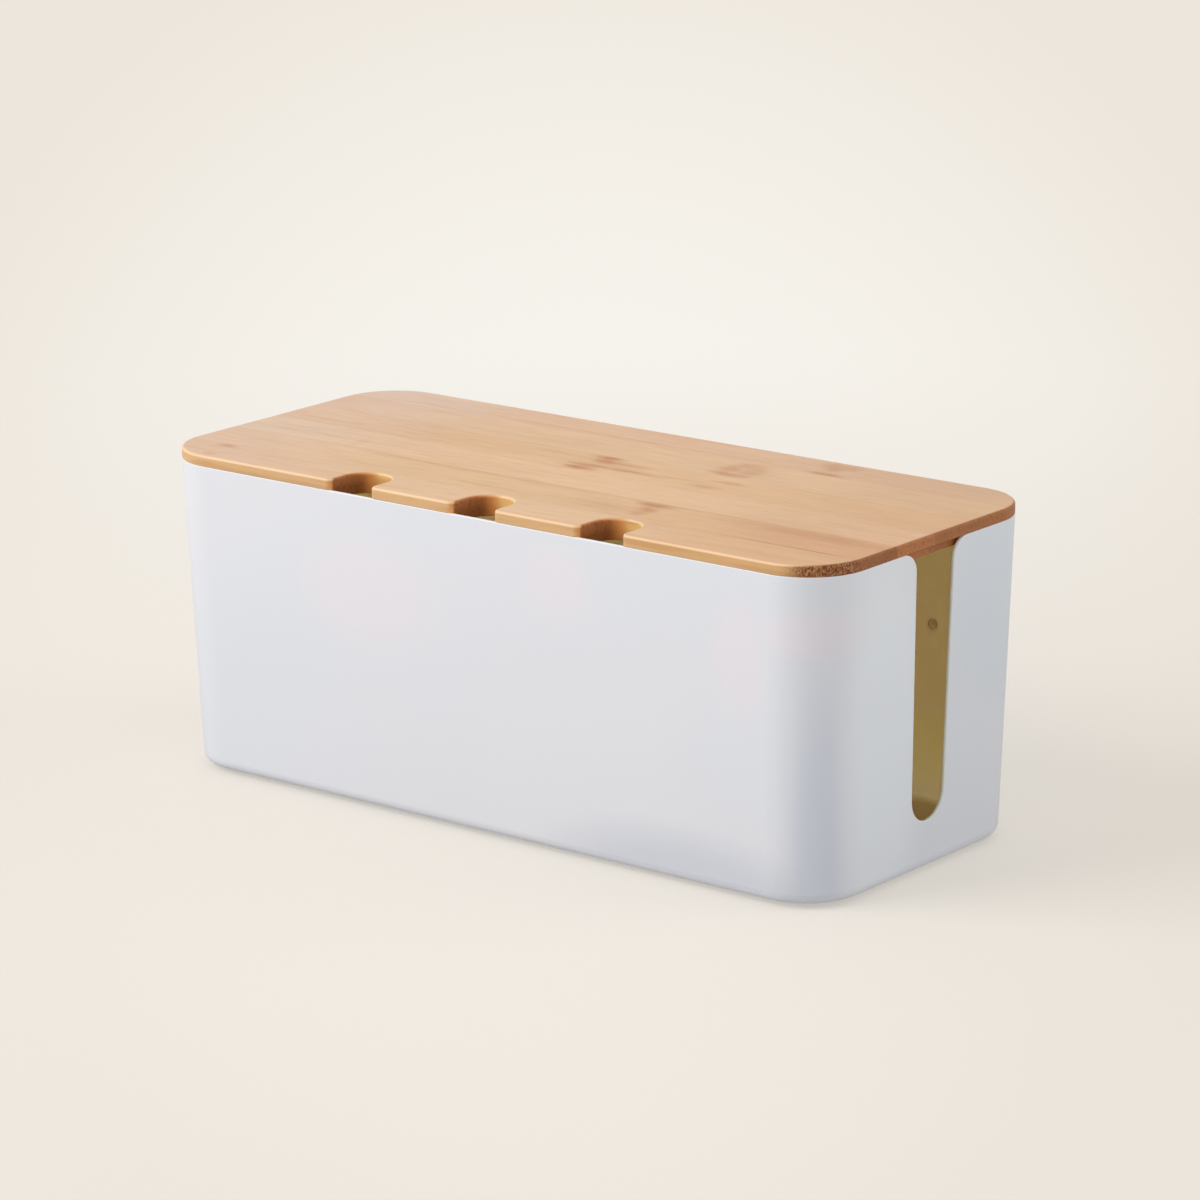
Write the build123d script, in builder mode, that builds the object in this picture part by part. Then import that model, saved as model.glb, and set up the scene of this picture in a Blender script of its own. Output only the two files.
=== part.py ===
from build123d import *
import os
from math import cos, radians, sin, tan

os.makedirs("parts", exist_ok=True)

# A cable management box: a moulded tub with a cable slot in each end, a lid board glued up from
# strips of bamboo, with three cable notches in its front edge, and four rubber feet.
#
# Millimetres. X runs along the box, Y from its front to its back and Z up. The origin is on the
# surface that the box stands on, under its middle.

# ---- driving dimensions ----

# Outline that the rim of the tub and the edge of the lid share
LENGTH = 320.0
WIDTH = 136.0
CORNER_RADIUS = 24.0

# Tub, moulded in one piece
TUB_HEIGHT = 123.0          # underside to rim
DRAFT = 1.68                # degrees that every wall leans in towards the base
WALL = 1.5
FLOOR = 2.2
BASE_EDGE_RADIUS = 4.3
RIM_ROUND = 0.4             # eases the rim and the edges of the slots, inside and out

# Cable slot in each end wall, open at the rim, with a full-round bottom
SLOT_WIDTH = 20.0           # across the round bottom
SLOT_BOTTOM = 18.9          # lowest point, above the underside of the tub
SLOT_SPLAY = 1.1            # degrees that each side leans out towards the rim
SLOT_OFFSET = 0.8           # from the middle of the wall, towards the back
SLOT_CORNER_RADIUS = 8.0    # turns each side of the slot into the rim

# Shallow round moulding marks, inside the back wall
MARK_DIAMETER = 4.0
MARK_DEPTH = 0.7
MARK_HEIGHT = 71.7          # above the underside of the tub
MARK_INSET = 46.0           # from each end of the rim

# Lid board
LID_PROUD = 4.5             # stands above the rim
LIP_DEPTH = 3.7             # drops inside the mouth of the tub
LIP_CLEARANCE = 1.4         # between the lip and the inside of the wall
LID_TOP_ROUND = 1.2
LID_ARRIS = 0.25            # chamfer on the lower edges of the board and of its lip
STRIP_COUNT = 6

# Cable notches in the front edge of the lid
NOTCH_COUNT = 3
NOTCH_PITCH = 60.0
NOTCH_WIDTH = 19.4
NOTCH_DEPTH = 19.0
NOTCH_MOUTH_RADIUS = 2.8
NOTCH_LAND = 1.8            # wood left between a notch and the first glue line

# Feet, round pads pressed into shallow seats in the underside
FOOT_DIAMETER = 12.0
FOOT_THICKNESS = 2.1
FOOT_EDGE_ROUND = 0.4
FOOT_SEAT_DEPTH = 0.6
FOOT_SEAT_CLEARANCE = 0.2
FOOT_INSET = 20.0           # pad centre from the sides of the base

# How far a cutting shape runs past the face that it opens
OVERRUN = 5.0

# ---- levels and lines worked out from them ----

underside_z = FOOT_THICKNESS - FOOT_SEAT_DEPTH
rim_z = underside_z + TUB_HEIGHT
lid_front_y = -WIDTH / 2

lean = tan(radians(DRAFT))
base_half_length = LENGTH / 2 - TUB_HEIGHT * lean
base_half_width = WIDTH / 2 - TUB_HEIGHT * lean

mark_z = underside_z + MARK_HEIGHT
mark_x = LENGTH / 2 - MARK_INSET
back_wall_inside_y = WIDTH / 2 - (TUB_HEIGHT - MARK_HEIGHT) * lean - WALL

lip_inset = WALL + LIP_CLEARANCE

# The notches set the width of the front strip and of its twin at the back; the rest share what is left
outer_strip_width = NOTCH_DEPTH + NOTCH_LAND
inner_strip_width = (WIDTH - 2 * outer_strip_width) / (STRIP_COUNT - 2)

foot_x = base_half_length - FOOT_INSET
foot_y = base_half_width - FOOT_INSET


# ---- tub ----

def hanging_block(inset, height):
    """A block that hangs from the rim and narrows downwards, with upright corners of one radius."""
    with BuildPart() as block:
        with BuildSketch(Plane.XY.offset(rim_z)):
            Rectangle(LENGTH - 2 * inset, WIDTH - 2 * inset)
        extrude(amount=-height, taper=DRAFT)
        fillet(block.edges().group_by(Axis.Z)[1], radius=CORNER_RADIUS - inset)
    return block.part


# Slot outline, seen along X: a splayed U whose upper corners flare into the rim
splay = radians(SLOT_SPLAY)
slot_radius = SLOT_WIDTH / 2
slot_centre_z = underside_z + SLOT_BOTTOM + slot_radius
side_foot = (slot_radius * cos(splay), slot_centre_z - slot_radius * sin(splay))
side_head = (side_foot[0] + (rim_z - side_foot[1]) * tan(splay), rim_z)
slot_outer_y = side_head[0] + SLOT_CORNER_RADIUS + OVERRUN

with BuildSketch() as slot_outline:
    with BuildLine():
        FilletPolyline((slot_outer_y, rim_z), side_head, side_foot, radius=SLOT_CORNER_RADIUS)
        mirror(about=Plane.YZ)
        ThreePointArc(side_foot, (0, slot_centre_z - slot_radius), (-side_foot[0], side_foot[1]))
        Polyline(
            (-slot_outer_y, rim_z),
            (-slot_outer_y, rim_z + OVERRUN),
            (slot_outer_y, rim_z + OVERRUN),
            (slot_outer_y, rim_z),
        )
    make_face()

with BuildPart() as box_body:
    # Block and cavity both hang from the rim and narrow downwards by the same draught
    add(hanging_block(0, TUB_HEIGHT))
    fillet(box_body.faces().sort_by(Axis.Z)[0].edges(), radius=BASE_EDGE_RADIUS)
    add(hanging_block(WALL, TUB_HEIGHT - FLOOR), mode=Mode.SUBTRACT)
    floor = box_body.faces().filter_by(Plane.XY).sort_by(Axis.Z)[1]
    fillet(floor.edges(), radius=BASE_EDGE_RADIUS - WALL)

    # One cut along the box opens the slot in both end walls
    with BuildSketch(Plane.YZ):
        with Locations((SLOT_OFFSET, 0)):
            add(slot_outline.sketch)
    extrude(amount=LENGTH, both=True, mode=Mode.SUBTRACT)

    # Ease the long edges of the rim and of the slots, not the short ones across the wall
    cut_faces = box_body.faces().filter_by_position(Axis.Z, rim_z, rim_z)
    cut_faces += box_body.faces(Select.LAST).filter_by(
        lambda face: abs(face.center().X) > base_half_length - 2 * WALL
    )
    eased = ShapeList()
    for face in cut_faces:
        eased += face.edges().filter_by(lambda edge: edge.length > 2 * WALL)
    fillet(eased, radius=RIM_ROUND)

    # Seats for the feet
    with BuildSketch(Plane.XY.offset(underside_z)):
        with GridLocations(2 * foot_x, 2 * foot_y, 2, 2):
            Circle(FOOT_DIAMETER / 2 + FOOT_SEAT_CLEARANCE)
    extrude(amount=FOOT_SEAT_DEPTH, mode=Mode.SUBTRACT)

    # Moulding marks, cut from inside the tub into the back wall
    with BuildSketch(Plane.XZ.offset(-back_wall_inside_y + OVERRUN)):
        with Locations((-mark_x, mark_z), (mark_x, mark_z)):
            Circle(MARK_DIAMETER / 2)
    extrude(amount=-(OVERRUN + MARK_DEPTH), mode=Mode.SUBTRACT)

box_body.part.label = "box_body"
export_step(box_body.part, "parts/box_body.step")


# ---- feet ----

foot_places = {
    "foot_front_left": (-foot_x, -foot_y),
    "foot_front_right": (foot_x, -foot_y),
    "foot_rear_left": (-foot_x, foot_y),
    "foot_rear_right": (foot_x, foot_y),
}

for foot_name, (x, y) in foot_places.items():
    with BuildPart() as foot:
        with BuildSketch(Plane((x, y, 0))):
            Circle(FOOT_DIAMETER / 2)
        extrude(amount=FOOT_THICKNESS)
        fillet(foot.faces().sort_by(Axis.Z)[0].edges(), radius=FOOT_EDGE_ROUND)
    foot.part.label = foot_name
    export_step(foot.part, f"parts/{foot_name}.step")


# ---- lid ----

# Notch outline, its mouth on the X axis: a U whose mouth corners flare into the edge of the board
notch_radius = NOTCH_WIDTH / 2
notch_centre_y = NOTCH_DEPTH - notch_radius
mouth_x = notch_radius + NOTCH_MOUTH_RADIUS

with BuildSketch() as notch_outline:
    with BuildLine():
        TangentArc((mouth_x, 0), (notch_radius, NOTCH_MOUTH_RADIUS), tangent=(-1, 0))
        Line((notch_radius, NOTCH_MOUTH_RADIUS), (notch_radius, notch_centre_y))
        Line((mouth_x, 0), (mouth_x, -OVERRUN))
        mirror(about=Plane.YZ)
        ThreePointArc((notch_radius, notch_centre_y), (0, NOTCH_DEPTH), (-notch_radius, notch_centre_y))
        Line((mouth_x, -OVERRUN), (-mouth_x, -OVERRUN))
    make_face()

# The whole board, as it leaves the router, before it is told apart into its strips
with BuildPart() as board:
    # Board above the rim
    with BuildSketch(Plane.XY.offset(rim_z)):
        RectangleRounded(LENGTH, WIDTH, CORNER_RADIUS)
    extrude(amount=LID_PROUD)
    chamfer(board.faces().sort_by(Axis.Z)[0].edges(), length=LID_ARRIS)

    # Lip inside the mouth of the tub
    with BuildSketch(Plane.XY.offset(rim_z)):
        RectangleRounded(LENGTH - 2 * lip_inset, WIDTH - 2 * lip_inset, CORNER_RADIUS - lip_inset)
    extrude(amount=-LIP_DEPTH)

    # Notches, flared at the mouth in the board and straight in the lip, which starts behind the flare
    with BuildSketch(Plane((0, lid_front_y, rim_z))):
        with GridLocations(NOTCH_PITCH, 0, NOTCH_COUNT, 1):
            add(notch_outline.sketch)
    extrude(amount=LID_PROUD, mode=Mode.SUBTRACT)
    with BuildSketch(Plane((0, lid_front_y + notch_centre_y, rim_z))):
        with GridLocations(NOTCH_PITCH, 0, NOTCH_COUNT, 1):
            Circle(notch_radius)
            Rectangle(NOTCH_WIDTH, NOTCH_DEPTH, align=(Align.CENTER, Align.MAX))
    extrude(amount=-LIP_DEPTH, mode=Mode.SUBTRACT)

    fillet(board.faces().sort_by(Axis.Z)[-1].edges(), radius=LID_TOP_ROUND)
    chamfer(board.faces().sort_by(Axis.Z)[0].edges(), length=LID_ARRIS)

# Glue lines from front to back, with the board's own edges as the first and the last
first_glue_y = lid_front_y + outer_strip_width
glue_lines = [first_glue_y + i * inner_strip_width for i in range(STRIP_COUNT - 1)]
strip_edges = [lid_front_y] + glue_lines + [WIDTH / 2]

for number, (front_y, back_y) in enumerate(zip(strip_edges, strip_edges[1:]), start=1):
    strip_name = f"lid_strip_{number}"
    with BuildPart() as strip:
        add(board.part)
        with BuildSketch(Plane((0, (front_y + back_y) / 2, rim_z - LIP_DEPTH))):
            Rectangle(LENGTH, back_y - front_y)
        extrude(amount=LIP_DEPTH + LID_PROUD, mode=Mode.INTERSECT)
    strip.part.label = strip_name
    export_step(strip.part, f"parts/{strip_name}.step")
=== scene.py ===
from collections import namedtuple
from math import cos, pi, radians, sin, tan

import bpy
from mathutils import Matrix, Vector


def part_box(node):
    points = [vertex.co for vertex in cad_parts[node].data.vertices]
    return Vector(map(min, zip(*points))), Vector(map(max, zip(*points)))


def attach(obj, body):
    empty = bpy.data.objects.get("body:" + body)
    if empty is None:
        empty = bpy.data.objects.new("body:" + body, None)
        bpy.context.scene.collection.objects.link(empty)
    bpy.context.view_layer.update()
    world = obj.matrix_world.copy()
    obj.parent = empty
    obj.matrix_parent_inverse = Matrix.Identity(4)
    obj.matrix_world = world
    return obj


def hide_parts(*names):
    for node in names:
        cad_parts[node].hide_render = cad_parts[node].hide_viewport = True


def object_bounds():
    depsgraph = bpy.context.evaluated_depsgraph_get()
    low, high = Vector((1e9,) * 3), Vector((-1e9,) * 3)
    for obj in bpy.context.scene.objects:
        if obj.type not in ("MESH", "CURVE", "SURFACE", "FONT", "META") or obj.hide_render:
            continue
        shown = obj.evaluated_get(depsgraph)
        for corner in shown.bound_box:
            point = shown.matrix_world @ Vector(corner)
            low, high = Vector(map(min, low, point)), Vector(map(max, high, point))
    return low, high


# The looks of a cable management box: a moulded tub, white outside and olive gold inside, a lid of six
# glued bamboo strips, and rubber feet. All its shapes come from the frame. In metres, with X along the box
# to its right end, Y from its notched front to its back and Z up.

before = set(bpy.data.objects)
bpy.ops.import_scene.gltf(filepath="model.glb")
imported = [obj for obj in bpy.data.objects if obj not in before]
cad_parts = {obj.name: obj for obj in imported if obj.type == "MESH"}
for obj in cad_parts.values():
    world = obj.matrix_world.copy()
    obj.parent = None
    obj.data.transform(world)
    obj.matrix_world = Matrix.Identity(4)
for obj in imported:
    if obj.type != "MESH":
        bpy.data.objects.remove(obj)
cad_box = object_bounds()

MM = 0.001

tub_low, tub_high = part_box("box_body")
UNDERSIDE_Z = tub_low.z
RIM_Z = tub_high.z


# ---- camera, fitted to the photograph ----

CAMERA_AZIMUTH = 38.79
CAMERA_ELEVATION = 15.16
CAMERA_ROLL = -0.578
CAMERA_DISTANCE = 1.8208
CAMERA_TARGET = Vector((0.00555, 0.0, 0.07928))
LENS = 143.57
SENSOR_WIDTH = 36.0


def direction(azimuth, elevation):
    """The way from the object to something at an azimuth (0 in front, 90 at its right) and an elevation."""
    a, e = radians(azimuth), radians(elevation)
    return Vector((sin(a) * cos(e), -cos(a) * cos(e), sin(e)))


def make_camera():
    back = direction(CAMERA_AZIMUTH, CAMERA_ELEVATION)
    level_right = Vector((0, 0, 1)).cross(back).normalized()
    roll = Matrix.Rotation(radians(CAMERA_ROLL), 3, back)
    right = roll @ level_right
    turn = Matrix((right, back.cross(right), back)).transposed()
    data = bpy.data.cameras.new("camera")
    data.sensor_width = SENSOR_WIDTH
    data.lens = LENS
    camera = bpy.data.objects.new("camera", data)
    camera.matrix_world = Matrix.LocRotScale(CAMERA_TARGET + CAMERA_DISTANCE * back, turn, None)
    bpy.context.scene.collection.objects.link(camera)
    bpy.context.scene.camera = camera


# ---- short calls for node trees ----

def srgb(red, green, blue):
    """A colour as an image holds it, 0 to 255, as the linear colour that a shader takes."""
    linear = [((v / 255 + 0.055) / 1.055) ** 2.4 if v > 10 else v / 255 / 12.92 for v in (red, green, blue)]
    return (*linear, 1.0)


class Nodes:
    """A node tree. An input given to its calls is a number, a colour or another node's output."""

    def __init__(self, tree):
        self.tree = tree

    def put(self, value, socket):
        if isinstance(value, bpy.types.NodeSocket):
            self.tree.links.new(value, socket)
        else:
            socket.default_value = value

    def node(self, kind, inputs=None, **settings):
        made = self.tree.nodes.new("ShaderNode" + kind)
        for name, value in settings.items():
            setattr(made, name, value)
        for name, value in (inputs or {}).items():
            self.put(value, made.inputs[name])
        return made

    def math(self, operation, *values):
        return self.node("Math", dict(enumerate(values)), operation=operation).outputs[0]

    def add(self, *values):
        total = values[0]
        for value in values[1:]:
            total = self.math("ADD", total, value)
        return total

    def multiply(self, *values):
        product = values[0]
        for value in values[1:]:
            product = self.math("MULTIPLY", product, value)
        return product

    def absolute(self, value):
        return self.math("ABSOLUTE", value)

    def length(self, vector):
        return self.node("VectorMath", {0: vector}, operation="LENGTH").outputs["Value"]

    def fade(self, value, start, end, low=0.0, high=1.0):
        """Goes smoothly from low, where value is at start, to high, where it is at end."""
        inputs = {"Value": value, 1: start, 2: end, 3: low, 4: high}
        if start > end:
            inputs.update({1: end, 2: start, 3: high, 4: low})
        return self.node("MapRange", inputs, interpolation_type="SMOOTHSTEP").outputs[0]

    def mix(self, factor, first, second):
        """Goes from the first colour, at factor 0, to the second, at 1."""
        inputs = {0: factor, 6: first, 7: second}
        return self.node("Mix", inputs, data_type="RGBA", clamp_factor=True).outputs[2]

    def blend(self, factor, first, second):
        """The same as mix, for two numbers."""
        return self.node("Mix", {0: factor, 2: first, 3: second}).outputs[0]

    def brighten(self, colour, value):
        return self.node("HueSaturation", {"Color": colour, "Value": value}).outputs[0]

    def stretched(self, point, scale, offset=(0, 0, 0)):
        return self.node("Mapping", {"Vector": point, "Scale": scale, "Location": offset}).outputs[0]

    def noise(self, point, scale=1.0, detail=3.0, roughness=0.5, distortion=0.0):
        inputs = {"Vector": point, "Scale": scale, "Detail": detail}
        inputs.update({"Roughness": roughness, "Distortion": distortion})
        return self.node("TexNoise", inputs).outputs["Fac"]

    def place(self):
        """The point on the object, in the row frame in metres, and its three coordinates."""
        point = self.node("TexCoord").outputs["Object"]
        return point, *self.node("SeparateXYZ", {0: point}).outputs

    def facing(self):
        """How much the surface faces along X, Y and Z, from -1 to 1."""
        return self.node("SeparateXYZ", {0: self.node("TexCoord").outputs["Normal"]}).outputs


class Surface(Nodes):
    """A material with a principled shader."""

    def __init__(self, name):
        self.material = bpy.data.materials.new(name)
        self.material.use_nodes = True
        super().__init__(self.material.node_tree)
        self.shader = self.tree.nodes["Principled BSDF"]

    def set(self, **inputs):
        """Sets inputs of the shader, with a low line in place of each space in their names."""
        for name, value in inputs.items():
            self.put(value, self.shader.inputs[name.replace("_", " ")])

    def bump(self, height, depth, strength):
        """Raises the surface by height, 0 to 1, times depth in metres."""
        made = self.node("Bump", {"Height": height, "Distance": depth, "Strength": strength})
        self.put(made.outputs[0], self.shader.inputs["Normal"])


# ---- moulded plastic ----

# A patch of another colour with a soft edge: its middle and its reach in X, Y and Z, all in mm
Patch = namedtuple("Patch", "colour middle reach")

ANYWHERE = 1000.0       # a reach past all of the tub

PINK = srgb(234, 229, 232)
# Painted shade: a darker, bluish band down the right front corner
PAINTED_CORNER_SHADE = srgb(221, 223, 232)
# Painted light: the near half of the right end made paler
PAINTED_LIGHT_NEAR_END = srgb(235, 238, 240)
# Painted shade: the far half of the right end made darker and cooler
PAINTED_SHADE_FAR_END = srgb(222, 226, 230)
# Painted shade: low on the front, towards the right corner
PAINTED_LOW_SHADE = srgb(215, 216, 222)
# Painted light: the base edge made paler against its contact shadow
PAINTED_LIGHT_BASE = srgb(244, 244, 246)
GOLD = srgb(255, 220, 164)
# Painted shade: darker in the moulding marks' shallow recesses
MARK_PAINTED_SHADE = srgb(150, 128, 48)

# Faint patches outside: pink tints on the front, and painted light and shade on the corner, end, low front
# and base
OUTSIDE_TINTS_AND_PAINTED_LIGHT = [
    Patch(PINK, (-53, -68, 88), (44, 100, 28)),
    Patch(PINK, (39, -68, 105), (20, 100, 20)),
    Patch(PINK, (122, -68, 92), (17, 100, 30)),
    Patch(PINK, (152, -60, 103), (30, 50, 12)),
    Patch(PAINTED_CORNER_SHADE, (151, -59, 0), (13, 13, 110)),
    Patch(PAINTED_LIGHT_NEAR_END, (160, -28, 55), (14, 32, 100)),
    Patch(PAINTED_SHADE_FAR_END, (160, 45, 100), (14, 52, 65)),
    Patch(PAINTED_LOW_SHADE, (98, -66, 0), (84, 12, 27)),
    Patch(PAINTED_LIGHT_BASE, (0, 0, 0), (ANYWHERE, ANYWHERE, 6)),
]
# Deeper gold low down on the inside
INSIDE_PATCHES = [Patch(GOLD, (0, 0, 23), (ANYWHERE, ANYWHERE, 20))]

# Where the two round moulding marks are, inside the back wall, in mm, and the patch of painted shade on each
# recess
MARKS = [(x, 65.0, 73.2) for x in (-114.0, 114.0)]
MARK_PAINTED_SHADE_PATCHES = [Patch(MARK_PAINTED_SHADE, mark, (3.4, 10, 3.4)) for mark in MARKS]

# How far light shines through: the first depth at the first height and above, the second at the second
# and below
GLOW_HEIGHTS = (50 * MM, 10 * MM)
GLOW_DEPTHS = (5.0 * MM, 6.5 * MM)
GLOW_TINT = (1.0, 0.86, 0.80)


def moulded_plastic(name, colour, drift, roughness, glow=0.0, tints_and_painted_light=()):
    """Satin moulded plastic: a fine spark texture, and a slow drift between a colour and two others.
    glow, 0 to 1, is how much of its look is light that shines through the thin wall."""
    surface = Surface(name)
    point, _, _, z = surface.place()
    cloud = surface.noise(point, scale=9.0, detail=1.0)
    other_cloud = surface.noise(surface.stretched(point, (1, 1, 1), (3.1, 1.7, 0.4)), scale=7.0, detail=1.0)
    tint = surface.mix(surface.fade(cloud, 0.45, 0.70), colour, drift[0])
    tint = surface.mix(surface.fade(other_cloud, 0.45, 0.72), tint, drift[1])
    for patch in tints_and_painted_light:
        scale = [1 / (reach * MM) for reach in patch.reach]
        offset = [-middle / reach for middle, reach in zip(patch.middle, patch.reach)]
        away = surface.length(surface.stretched(point, scale, offset))
        tint = surface.mix(surface.fade(away, 1.0, 0.4), tint, patch.colour)
    spark = surface.noise(point, scale=1500.0, detail=2.0)
    wave = surface.noise(point, scale=22.0, detail=1.0)
    surface.set(
        Base_Color=tint,
        Roughness=surface.fade(spark, 0.2, 0.8, roughness - 0.04, roughness + 0.05),
        Subsurface_Weight=glow,
        Subsurface_Radius=GLOW_TINT,
        Subsurface_Scale=surface.fade(z, *GLOW_HEIGHTS, *GLOW_DEPTHS),
    )
    surface.bump(surface.add(surface.multiply(spark, 0.1), wave), 0.12 * MM, 0.4)
    return surface.material


# ---- bamboo ----

GRAIN_DARK = srgb(197, 144, 100)
FIBRE = srgb(184, 128, 86)
NODE = srgb(170, 99, 44)
GLUE = srgb(120, 74, 48)
# Painted highlight along the lid's rounded top edge
TOP_EDGE_HIGHLIGHT = srgb(250, 218, 176)
SIDE_GRAIN = srgb(216, 172, 121)
SIDE_GRAIN_DARK = srgb(203, 150, 88)
SIDE_STREAK = srgb(190, 136, 80)
# Painted light: brighter golden side grain in the notches
NOTCH_GRAIN_PAINTED_LIGHT = srgb(236, 190, 118)
MOUTH_GRAIN = srgb(232, 150, 74)
END_GRAIN = srgb(184, 116, 66)
END_GRAIN_DARK = srgb(120, 66, 38)
END_FIBRE = srgb(218, 170, 118)

SWAY = 2.4 * MM                                 # how far the grain wanders to the sides
GLUE_HALF_WIDTH = 0.14 * MM

# Where a look of the lid comes in: the place where it starts and the place where it is full
LEFT_TO_MIDDLE_X = (-150 * MM, -50 * MM)
MIDDLE_TO_RIGHT_X = (20 * MM, 145 * MM)
DARKER_SIDE_X = (0.0, 120 * MM)
END_FIBRES_X = (120 * MM, 130 * MM)
NOTCHES_X = (125 * MM, 110 * MM)                # to either side of the middle
NOTCHES_Y = (-44 * MM, -47 * MM)
MOUTH_TO_NOTCH_Y = (-66.4 * MM, -65.2 * MM)     # from the flared mouth of a notch to its straight sides
NOTCH_TO_MOUTH_Y = MOUTH_TO_NOTCH_Y[::-1]
END_SHADE_Z = (RIM_Z - 1.0 * MM, RIM_Z + 3.5 * MM)

# A strip's colour at the left end of the lid, in its middle and at its right end (paler at the left, partly
# the wood's own tone and partly a painted sheen), how bright its end grain is, how much of the end grain's
# fibres shows, and the marks
# of its growth nodes and darker streaks: each has its middle x and y, half length, half width (all mm) and
# strength.
Strip = namedtuple("Strip", "left middle right end_value end_fibres marks")

STRIPS = [
    Strip(srgb(212, 176, 147), srgb(217, 179, 140), srgb(209, 165, 121), 0.74, 1.0, [
        (-139, -50, 5, 2.5, 0.5), (-136, -63, 3.5, 2.5, 0.25), (120, -60, 30, 2.5, 0.12),
    ]),
    Strip(srgb(213, 179, 150), srgb(214, 175, 132), srgb(204, 155, 113), 0.70, 0.15, [
        (54, -27.5, 10, 3.2, 0.7), (55, -33, 6, 4, 0.6), (56, -39.5, 4, 4, 0.35), (38, -38, 20, 7, 0.15),
        (-20, -40, 20, 1.5, 0.25), (-35, -25.5, 50, 1.5, 0.25), (130, -29, 40, 5, 0.3),
        (128, -47, 34, 0.7, 0.8), (30, -24.6, 120, 1.4, 0.12),
    ]),
    Strip(srgb(214, 184, 157), srgb(219, 179, 139), srgb(211, 170, 131), 0.98, 0.15, [
        (-101, -16, 3, 8, 0.15),
    ]),
    Strip(srgb(211, 177, 147), srgb(215, 175, 132), srgb(206, 163, 121), 0.80, 0.15, [
        (-5, 20.5, 8, 3.4, 0.85), (-4, 15.5, 6.5, 3, 0.6), (-6, 7.5, 8, 2.6, 0.65), (-7, 2.8, 9, 3, 0.85),
        (13, 8.6, 17, 1.8, 0.6), (9, 16, 11, 2, 0.4), (35, 11, 20, 1.6, 0.2), (55, 16, 9, 2.6, 0.35),
        (51, 6, 8, 3.2, 0.3), (-135, 7, 18, 1.5, 0.2), (0, 12, 16, 10, 0.18),
    ]),
    Strip(srgb(211, 177, 151), srgb(216, 178, 139), srgb(207, 168, 129), 0.84, 0.15, [
        (42, 35, 5, 9, 0.35), (52, 36, 5, 9, 0.3), (47, 27, 9, 3.2, 0.5), (46, 43, 8, 3, 0.3),
        (47, 35, 16, 10, 0.15),
    ]),
    Strip(srgb(213, 185, 164), srgb(212, 173, 139), srgb(203, 163, 129), 0.82, 0.15, [
        (76, 48.8, 10, 2.6, 0.7), (74, 56, 5, 5, 0.35), (71, 62, 6, 4, 0.4), (79, 62, 5, 4, 0.35),
        (-60, 51, 55, 1.3, 0.25), (20, 50.5, 50, 1.2, 0.2),
    ]),
]


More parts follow.
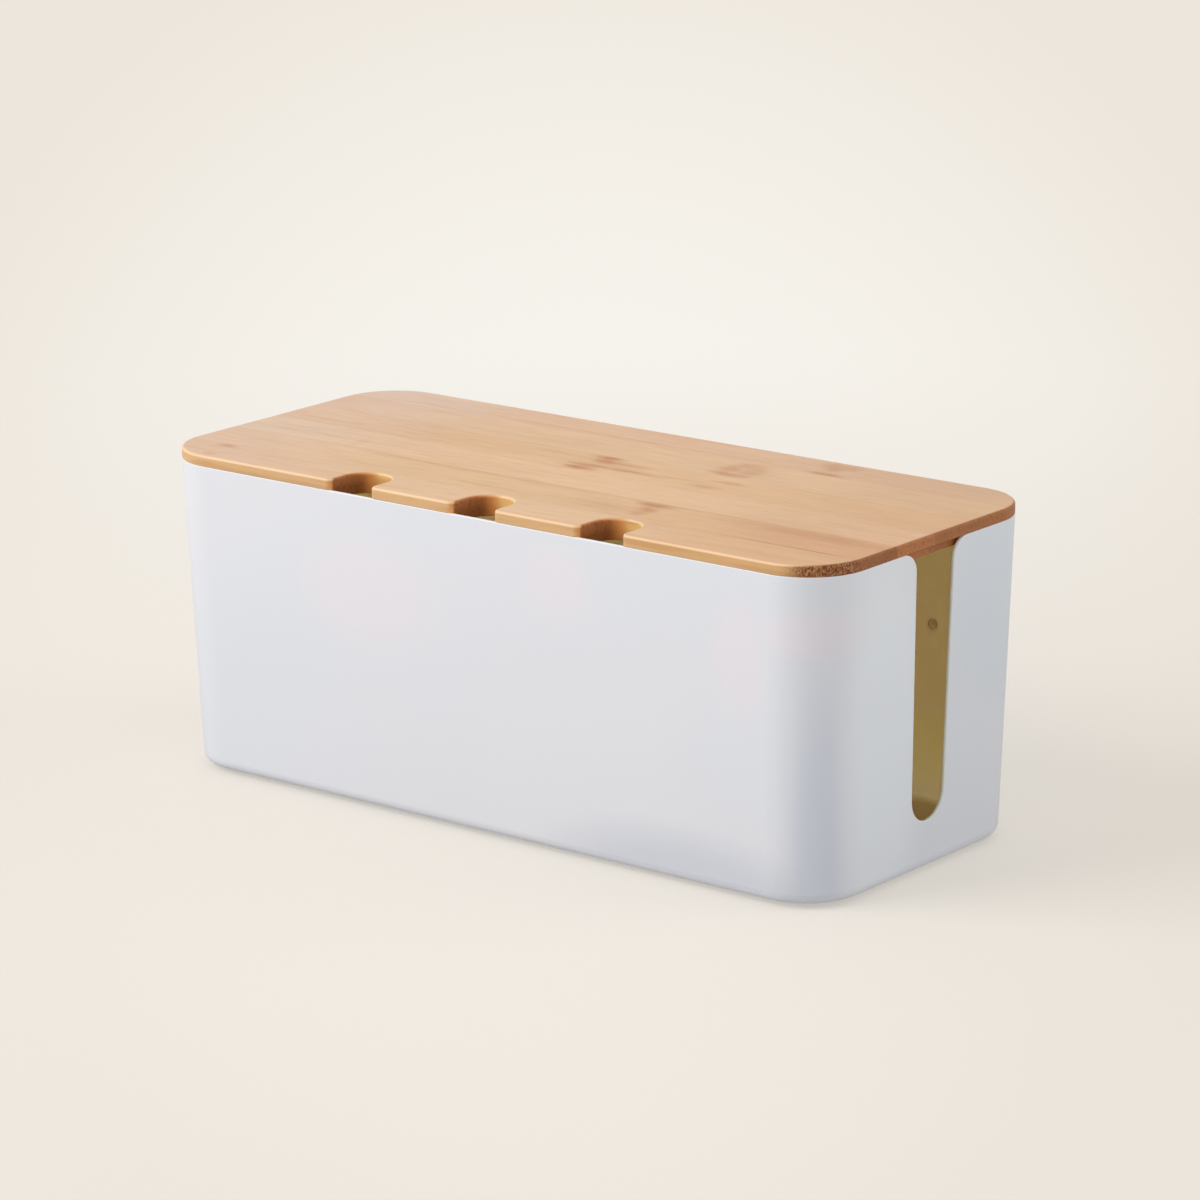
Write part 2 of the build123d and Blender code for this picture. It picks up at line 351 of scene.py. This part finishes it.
class Bamboo(Surface):
    """Varnished bamboo with its grain along X. Each with_ call lays another look over a colour."""

    def __init__(self, number, strip):
        super().__init__(f"bamboo_{number}")
        self.strip = strip
        self.seed = (number * 1.37, number * 2.11, number * 0.73)
        self.point, self.x, self.y, self.z = self.place()
        self.facing_x, _, self.facing_z = self.facing()

        sway = self.noise(self.seeded(self.point, (12, 50, 50)), detail=1.0)
        swayed_y = self.add(self.y, self.multiply(self.add(sway, -0.5), SWAY))
        swayed = self.node("CombineXYZ", {0: self.x, 1: swayed_y, 2: self.z}).outputs[0]
        self.mottle = self.noise(self.seeded(swayed, (22, 60, 60)), detail=2.0)
        self.bands = self.noise(self.seeded(swayed, (12, 260, 260)), detail=2.0)
        self.streaks = self.noise(self.seeded(swayed, (55, 850, 850)), detail=3.0, roughness=0.6)
        self.fibres = self.noise(self.seeded(swayed, (160, 2400, 2400)), detail=2.0, roughness=0.6)

        # The notches' stretch of the front edge, and in it the notches' straight sides and flared mouths
        along_notches = self.fade(self.absolute(self.x), *NOTCHES_X)
        self.near_notches = self.multiply(along_notches, self.fade(self.y, *NOTCHES_Y))
        self.in_notch = self.multiply(self.near_notches, self.fade(self.y, *MOUTH_TO_NOTCH_Y))
        self.at_mouth = self.multiply(self.near_notches, self.fade(self.y, *NOTCH_TO_MOUTH_Y))

    def seeded(self, point, scale):
        """A stretched point whose noise differs from strip to strip."""
        return self.stretched(point, scale, self.seed)

    def grained(self, colour, dark):
        """A colour with bands and streaks of a darker one, and thin fibres."""
        colour = self.mix(self.fade(self.bands, 0.45, 0.75, 0.0, 0.25), colour, dark)
        colour = self.mix(self.fade(self.streaks, 0.50, 0.78, 0.0, 0.36), colour, dark)
        return self.mix(self.fade(self.fibres, 0.58, 0.75, 0.0, 0.30), colour, FIBRE)

    def face_grain(self):
        """The strip's colour, which changes from its left end to its right, paler at the left partly as its
        own tone and partly as a painted sheen, and its grain.
        """
        colour = self.mix(self.fade(self.x, *LEFT_TO_MIDDLE_X), self.strip.left, self.strip.middle)
        colour = self.mix(self.fade(self.x, *MIDDLE_TO_RIGHT_X), colour, self.strip.right)
        return self.grained(colour, GRAIN_DARK)

    def with_marks(self, colour):
        """Growth nodes and darker streaks, as ragged ellipses."""
        lumps = self.noise(self.seeded(self.point, (120, 260, 1)), detail=2.0, roughness=0.6)
        for middle_x, middle_y, half_length, half_width, strength in self.strip.marks:
            along = self.math("DIVIDE", self.add(self.x, -middle_x * MM), half_length * MM)
            across = self.math("DIVIDE", self.add(self.y, -middle_y * MM), half_width * MM)
            away = self.math("SQRT", self.add(self.multiply(along, along), self.multiply(across, across)))
            ragged = self.add(away, lumps, -0.5)
            colour = self.mix(self.fade(ragged, 1.4, 0.1, 0.0, 0.95 * strength), colour, NODE)
        return colour

    def with_glue(self, colour, glue_lines):
        """Glue at the given y, seen here and there along a line."""
        seen = self.fade(self.noise(self.seeded(self.point, (14, 30, 1)), detail=1.0), 0.35, 0.65)
        for glue_y in glue_lines:
            glue = self.fade(self.absolute(self.add(self.y, -glue_y)), GLUE_HALF_WIDTH, 0.0)
            colour = self.mix(self.multiply(glue, seen, 0.25), colour, GLUE)
        return colour

    def with_side_grain(self, colour):
        """Golden side grain on the upright faces, brighter in a notch as painted light, and more orange where
        a notch turns in.
        """
        side = self.mix(self.fade(self.x, *DARKER_SIDE_X, 0.0, 0.3), SIDE_GRAIN, SIDE_GRAIN_DARK)
        side = self.mix(self.in_notch, side, NOTCH_GRAIN_PAINTED_LIGHT)
        turning_in = self.multiply(self.near_notches, self.fade(self.facing_x, 0.2, 0.9))
        side = self.mix(turning_in, side, MOUTH_GRAIN)
        side = self.mix(self.fade(self.bands, 0.50, 0.62, 0.0, 0.35), side, SIDE_STREAK)
        upright = self.fade(self.absolute(self.facing_z), 0.85, 0.30)
        return self.mix(upright, colour, self.grained(side, SIDE_GRAIN_DARK))

    def with_painted_top_edge_highlight(self, colour):
        """A painted highlight: a paler line along the rounded top edge."""
        painted_top_highlight = self.multiply(self.fade(self.facing_z, 0.05, 0.35), self.fade(self.facing_z, 0.97, 0.75))
        return self.mix(self.multiply(painted_top_highlight, 0.4), colour, TOP_EDGE_HIGHLIGHT)

    def end_grain(self):
        """Fibres cut across, as dark and light strokes and dark pores."""
        strokes = self.noise(self.seeded(self.point, (900, 900, 470)), detail=1.0, distortion=2.0)
        pores = self.noise(self.seeded(self.point, (900, 900, 900)), detail=1.0)
        shown = self.fade(self.x, *END_FIBRES_X, 0.15, self.strip.end_fibres)
        dark_strokes = self.multiply(self.fade(strokes, 0.53, 0.40, 0.0, 0.9), shown)
        light_strokes = self.multiply(self.fade(strokes, 0.57, 0.65, 0.0, 0.7), shown)
        end = self.mix(dark_strokes, END_GRAIN, END_GRAIN_DARK)
        end = self.mix(light_strokes, end, END_FIBRE)
        end = self.mix(self.fade(pores, 0.52, 0.72, 0.0, 0.40), end, END_GRAIN_DARK)

        # It darkens a little towards the lid's top. In a notch, painted shade darkens it towards the bottom
        # and painted light brightens it near the top.
        height = self.fade(self.z, *END_SHADE_Z)
        notch_painted_shade_and_light = self.multiply(self.near_notches, self.add(-0.20, self.multiply(height, 0.42)))
        shade = self.add(1.04, self.multiply(height, -0.09), notch_painted_shade_and_light)
        return self.brighten(end, self.multiply(shade, self.strip.end_value))

    def cut_across(self):
        """How far a face cuts across the grain. A notch's mouth turns into end grain later than the lid's
        round corner does."""
        turned = self.blend(
            self.in_notch, self.fade(self.facing_x, 0.16, 0.60), self.fade(self.facing_x, 0.05, 0.85))
        turned = self.blend(self.at_mouth, turned, self.fade(self.facing_x, 0.84, 0.97))
        return self.math("MAXIMUM", turned, self.fade(self.facing_x, -0.75, -1.0))

    def with_end_grain(self, colour, cut_across):
        """End grain where the board is cut across, and orange between the two grains of a notch."""
        colour = self.mix(cut_across, colour, self.end_grain())
        uncut = self.add(1.0, self.multiply(cut_across, -1.0))
        between = self.multiply(cut_across, uncut, 2.0)
        return self.mix(self.multiply(between, self.in_notch), colour, MOUTH_GRAIN)

    def varnish(self, colour, cut_across):
        self.set(
            Base_Color=self.brighten(colour, self.fade(self.mottle, 0.3, 0.7, 0.97, 1.03)),
            Roughness=self.fade(self.streaks, 0.3, 0.7, 0.40, 0.52),
            Specular_IOR_Level=self.fade(cut_across, 0.0, 1.0, 0.5, 0.25),
        )
        self.bump(self.add(self.fibres, self.streaks), 0.05 * MM, 0.5)


def bamboo(number, strip, glue_lines):
    """The material of one strip of the lid, with glue at the given y."""
    wood = Bamboo(number, strip)
    colour = wood.with_marks(wood.face_grain())
    colour = wood.with_glue(colour, glue_lines)
    colour = wood.with_side_grain(colour)
    colour = wood.with_painted_top_edge_highlight(colour)
    cut_across = wood.cut_across()
    colour = wood.with_end_grain(colour, cut_across)
    wood.varnish(colour, cut_across)
    return wood.material


def dress_lid():
    """Gives each strip its own bamboo. A strip's side is a glue line unless it is the board's own edge."""
    board_front, board_back = cad_box[0].y, cad_box[1].y
    for number, strip in enumerate(STRIPS, start=1):
        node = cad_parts[f"lid_strip_{number}"]
        sides = [corner.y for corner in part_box(node.name)]
        glue_lines = [y for y in sides if board_front + MM < y < board_back - MM]
        node.data.materials.clear()
        node.data.materials.append(bamboo(number, strip, glue_lines))


# ---- rubber ----

def rubber():
    surface = Surface("rubber")
    point, *_ = surface.place()
    grain = surface.noise(point, scale=2200.0, detail=2.0)
    worn = surface.noise(point, scale=180.0, detail=2.0)
    surface.set(
        Base_Color=surface.mix(surface.fade(worn, 0.4, 0.7), srgb(38, 38, 40), srgb(54, 53, 53)),
        Roughness=surface.fade(grain, 0.3, 0.7, 0.62, 0.78),
    )
    surface.bump(grain, 0.06 * MM, 0.5)
    return surface.material


def dress_feet():
    material = rubber()
    for foot_name in ("foot_front_left", "foot_front_right", "foot_rear_left", "foot_rear_right"):
        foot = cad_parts[foot_name]
        foot.data.materials.clear()
        foot.data.materials.append(material)


# ---- tub ----

# The tub's sizes, which tell its faces apart
CORNER_RADIUS = 24.0 * MM
WALL = 1.5 * MM
FLOOR = 2.2 * MM
DRAFT = 1.68                # degrees that a wall leans in towards the base
RIM_ROUND = 0.4 * MM
BASE_EDGE_RADIUS = 4.3 * MM
DEPTH_TOLERANCE = 0.02 * MM
MARK_REACH = 3.0 * MM       # from the middle of a moulding mark to past its edge

MARK_MIDDLES = [Vector(mark) * MM for mark in MARKS]

# The tub's material slots
OUTSIDE, INSIDE, MARK, SLOT_EDGE = range(4)


def tub_plastics():
    """The tub's plastics, in the order of its material slots."""
    outside = moulded_plastic(
        "plastic_outside", srgb(230, 230, 233), (srgb(231, 230, 232), srgb(227, 229, 233)),
        roughness=0.42, tints_and_painted_light=OUTSIDE_TINTS_AND_PAINTED_LIGHT,
    )
    inside = moulded_plastic(
        "plastic_inside", srgb(255, 220, 177), (srgb(253, 223, 183), srgb(248, 217, 173)),
        roughness=0.48, glow=1.0, tints_and_painted_light=INSIDE_PATCHES,
    )
    # The marks' plastic is darker than the inside: painted shade in their recesses
    mark = moulded_plastic(
        "plastic_mark_painted_shade", srgb(236, 202, 150), (srgb(236, 204, 152), srgb(232, 200, 148)),
        roughness=0.55, glow=1.0, tints_and_painted_light=MARK_PAINTED_SHADE_PATCHES,
    )
    # The slot edges' plastic is paler and warmer than the outside: painted light, beside their subsurface
    # glow
    slot_edge = moulded_plastic(
        "plastic_edge_painted_light", srgb(248, 240, 218), (srgb(250, 243, 222), srgb(245, 236, 213)),
        roughness=0.42, glow=1.0,
    )
    return outside, inside, mark, slot_edge


def depth_in_wall(point):
    """How far a point lies inside the outer face of the tub's walls."""
    middle = CORNER_RADIUS + tan(radians(DRAFT)) * (RIM_Z - point.z)
    corner_x = abs(point.x) - (tub_high.x - middle)
    corner_y = abs(point.y) - (tub_high.y - middle)
    outside = Vector((max(corner_x, 0.0), max(corner_y, 0.0))).length
    return CORNER_RADIUS - outside - min(max(corner_x, corner_y), 0.0)


def tub_slot(corners, depths):
    """The material slot of a face of the tub, from its corners and how deep in the walls each one lies."""
    for middle in MARK_MIDDLES:
        if all((corner - middle).length < MARK_REACH for corner in corners):
            return MARK
    lowest = min(corner.z for corner in corners)
    if lowest <= UNDERSIDE_Z + FLOOR / 2:
        return OUTSIDE
    if min(depths) > WALL - RIM_ROUND - DEPTH_TOLERANCE:
        return INSIDE
    above_base_edge = lowest > UNDERSIDE_Z + BASE_EDGE_RADIUS
    below_rim = lowest < RIM_Z - 2 * RIM_ROUND
    if above_base_edge and below_rim and max(depths) > DEPTH_TOLERANCE:
        return SLOT_EDGE
    return OUTSIDE


def make_tub():
    """A copy of the moulded tub, with one plastic outside, another inside, and light that shines through the
    edges of its slots, partly by subsurface glow and partly painted in as their paler, warmer colour."""
    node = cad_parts["box_body"]
    tub = bpy.data.objects.new("tub", node.data.copy())
    bpy.context.scene.collection.objects.link(tub)
    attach(tub, "box")
    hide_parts("box_body")
    mesh = tub.data
    mesh.materials.clear()
    for plastic in tub_plastics():
        mesh.materials.append(plastic)
    points = [vertex.co for vertex in mesh.vertices]
    depths = [depth_in_wall(point) for point in points]
    for face in mesh.polygons:
        face.material_index = tub_slot([points[i] for i in face.vertices], [depths[i] for i in face.vertices])


# ---- floor ----

FLOOR_SIDES = 96
FLOOR_RADIUS = 6.0
FLOOR_FADE = (0.20, 0.85)           # distances from the object's middle between which the floor fades out
FLOOR_CLEAR = 0.4                   # how clear the floor is closer in
FLOOR_SEEN = srgb(228, 220, 210)
FLOOR_LIT = srgb(122, 122, 125)     # the floor's colour for the light that it sends up to the object


def make_floor():
    """A round floor that fades into the backdrop and is gone well away from the object."""
    mesh = bpy.data.meshes.new("floor")
    angles = [2 * pi * i / FLOOR_SIDES for i in range(FLOOR_SIDES)]
    rim = [(FLOOR_RADIUS * cos(angle), FLOOR_RADIUS * sin(angle), 0) for angle in angles]
    mesh.from_pydata(rim, [], [tuple(range(FLOOR_SIDES))])
    floor = bpy.data.objects.new("floor", mesh)
    bpy.context.scene.collection.objects.link(floor)

    surface = Surface("floor")
    point, *_ = surface.place()
    seen = surface.node("LightPath").outputs["Is Camera Ray"]
    surface.set(
        Base_Color=surface.mix(seen, FLOOR_LIT, FLOOR_SEEN),
        Roughness=0.9,
        Specular_IOR_Level=0.0,
    )
    clear = surface.fade(surface.length(point), *FLOOR_FADE, FLOOR_CLEAR, 1.0)
    backdrop = surface.node("BsdfTransparent").outputs[0]
    faded = surface.node("MixShader", {0: clear, 1: surface.shader.outputs[0], 2: backdrop})
    surface.put(faded.outputs[0], surface.tree.nodes["Material Output"].inputs["Surface"])
    mesh.materials.append(surface.material)


# ---- light and world ----

LAMP_TARGET = Vector((0, 0, 0.06))
AMBIENT = (0.985, 0.99, 1.0, 1.0)
AMBIENT_STRENGTH = 0.77
BACKDROP = srgb(237, 230, 220)
BACKDROP_GLOW = srgb(246, 243, 236)
GLOW_REACH = 9.0                    # degrees from the middle of the backdrop's glow to its edge


def softbox(name, azimuth, elevation, distance, width, height, power):
    """An area lamp that faces the object."""
    data = bpy.data.lights.new(name, "AREA")
    data.shape = "RECTANGLE"
    data.size, data.size_y = width, height
    data.energy = power
    lamp = bpy.data.objects.new(name, data)
    back = direction(azimuth, elevation)
    lamp.location = LAMP_TARGET + distance * back
    lamp.rotation_mode = "QUATERNION"
    lamp.rotation_quaternion = (-back).to_track_quat("-Z", "Y")
    bpy.context.scene.collection.objects.link(lamp)


def make_world():
    """Even light all round, and a pale backdrop, with a glow behind the object, for the rays that see it."""
    world = bpy.data.worlds.new("world")
    bpy.context.scene.world = world
    world.use_nodes = True
    nodes = Nodes(world.node_tree)
    path = nodes.node("LightPath").outputs
    camera_or_glossy = nodes.math("MAXIMUM", path["Is Camera Ray"], path["Is Glossy Ray"])
    seen = nodes.math("MAXIMUM", camera_or_glossy, path["Is Transmission Ray"])
    glow_middle = -direction(CAMERA_AZIMUTH, CAMERA_ELEVATION)
    way = nodes.node("TexCoord").outputs["Generated"]
    along_glow = nodes.node("VectorMath", {0: way, 1: glow_middle}, operation="DOT_PRODUCT").outputs["Value"]
    glow = nodes.fade(along_glow, cos(radians(GLOW_REACH)), 1.0)
    backdrop = nodes.node("Background", {"Color": nodes.mix(glow, BACKDROP, BACKDROP_GLOW), "Strength": 1.0})
    ambient = nodes.node("Background", {"Color": AMBIENT, "Strength": AMBIENT_STRENGTH})
    mixed = nodes.node("MixShader", {0: seen, 1: ambient.outputs[0], 2: backdrop.outputs[0]})
    nodes.put(mixed.outputs[0], world.node_tree.nodes["World Output"].inputs["Surface"])


make_camera()
make_tub()
dress_lid()
dress_feet()
make_floor()
make_world()
softbox("key", azimuth=-38, elevation=34, distance=2.2, width=1.6, height=1.4, power=27.5)
softbox("side", azimuth=125, elevation=30, distance=1.6, width=1.0, height=1.0, power=3)

bpy.context.scene.view_settings.view_transform = "Standard"
